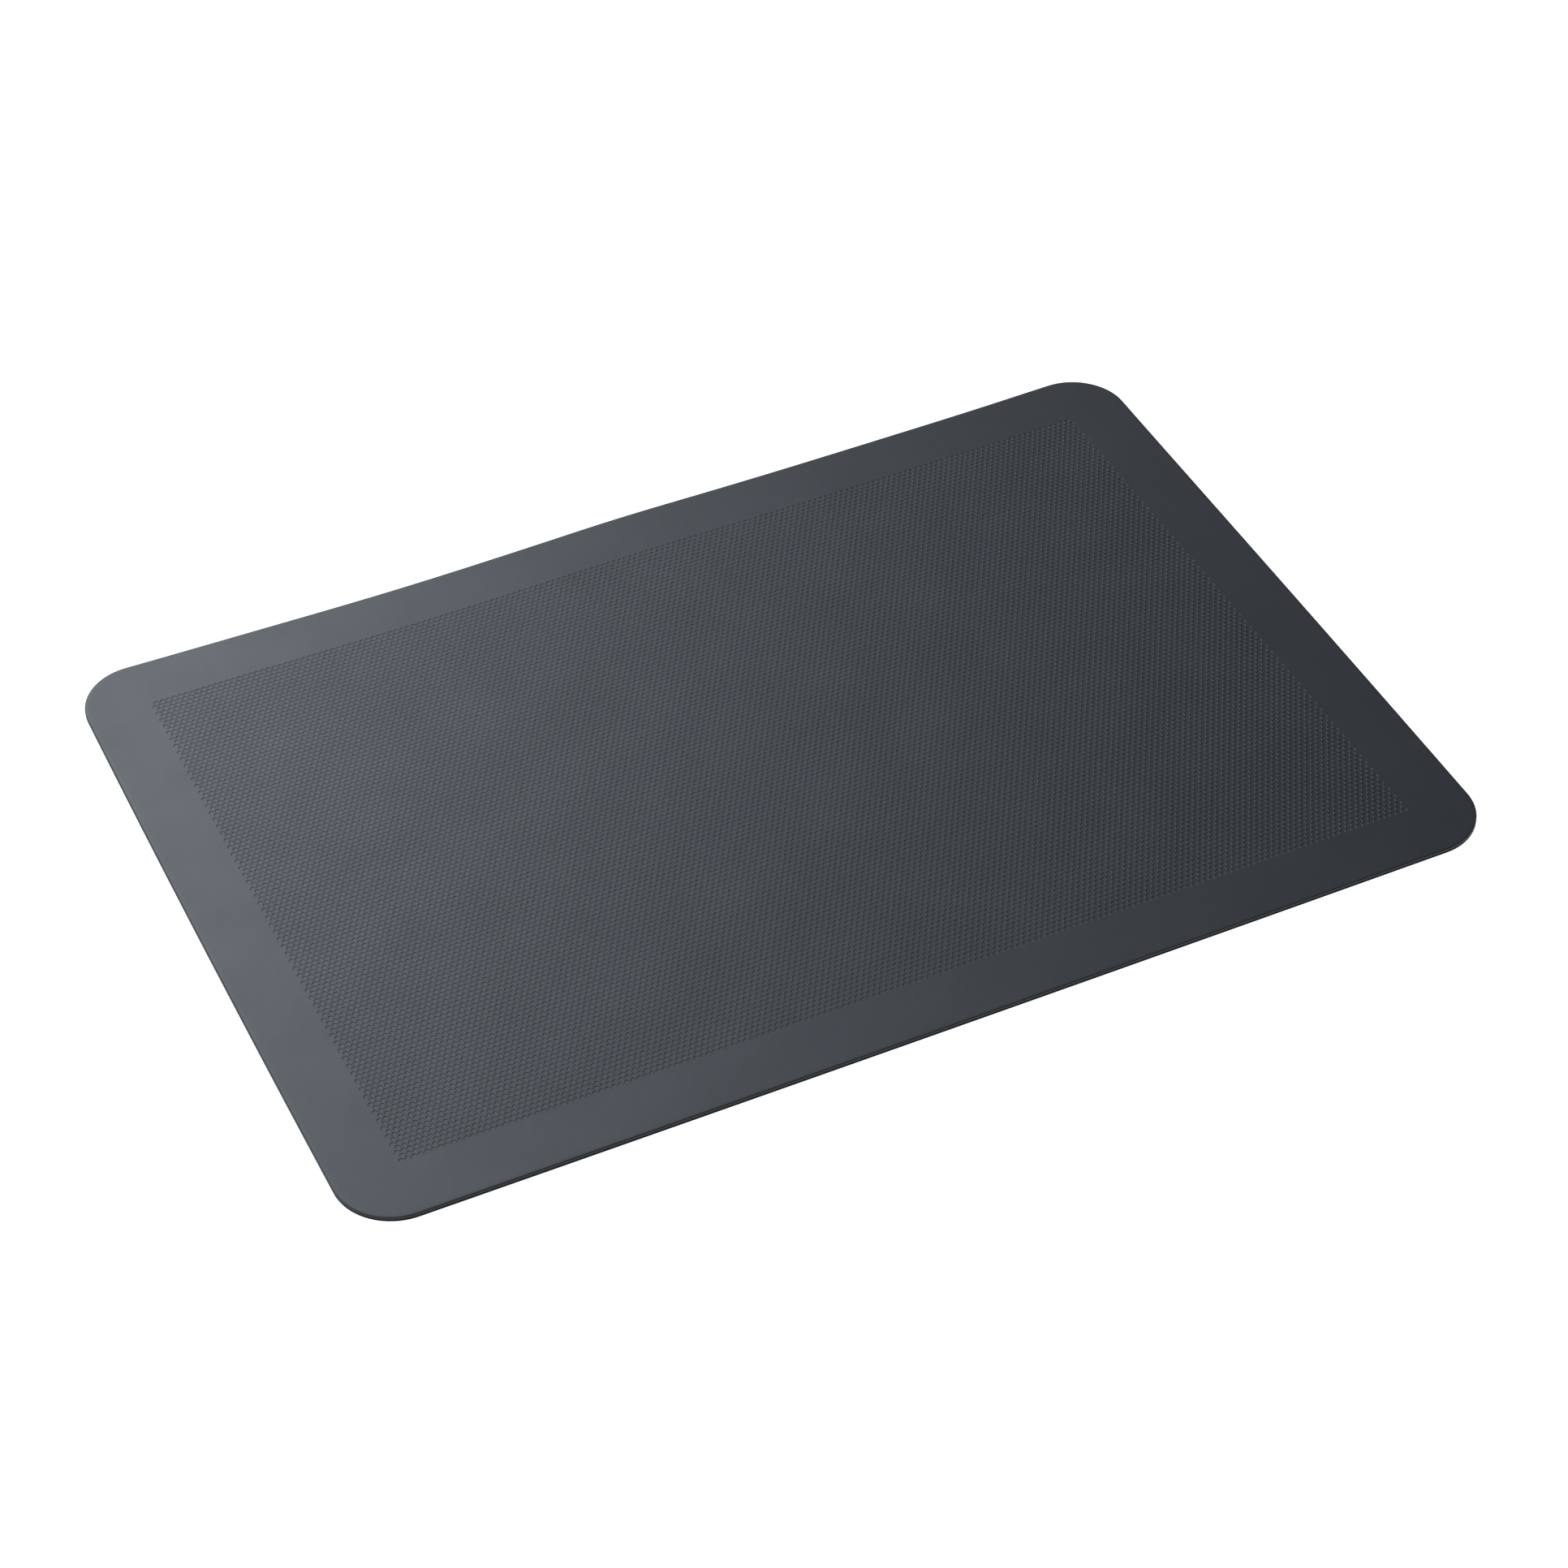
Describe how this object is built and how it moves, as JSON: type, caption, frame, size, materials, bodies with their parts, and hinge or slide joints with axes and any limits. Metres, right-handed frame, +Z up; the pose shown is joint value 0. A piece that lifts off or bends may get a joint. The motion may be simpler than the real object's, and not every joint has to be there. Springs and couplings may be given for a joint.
{
  "type": "anti-fatigue mat",
  "caption": "Thin flat rectangular standing mat with rounded corners, a plain border and a field of close-packed round dimples over a foam core.",
  "frame": {"origin": "on the floor under the middle of the mat", "axes": "+X along the mat's length, +Y across its width, +Z up out of the tread"},
  "size_m": [0.76, 0.53, 0.0038],
  "materials": {
    "cover": "satin",
    "core": "matte",
    "bond": "satin",
    "base": "matte"
  },
  "bodies": {
    "root": {"top_cover": "cover", "upper_bond_film": "bond", "cushion_core": "core", "lower_bond_film": "bond", "rim_bond": "bond", "base_sheet": "base"}
  },
  "joints": []
}
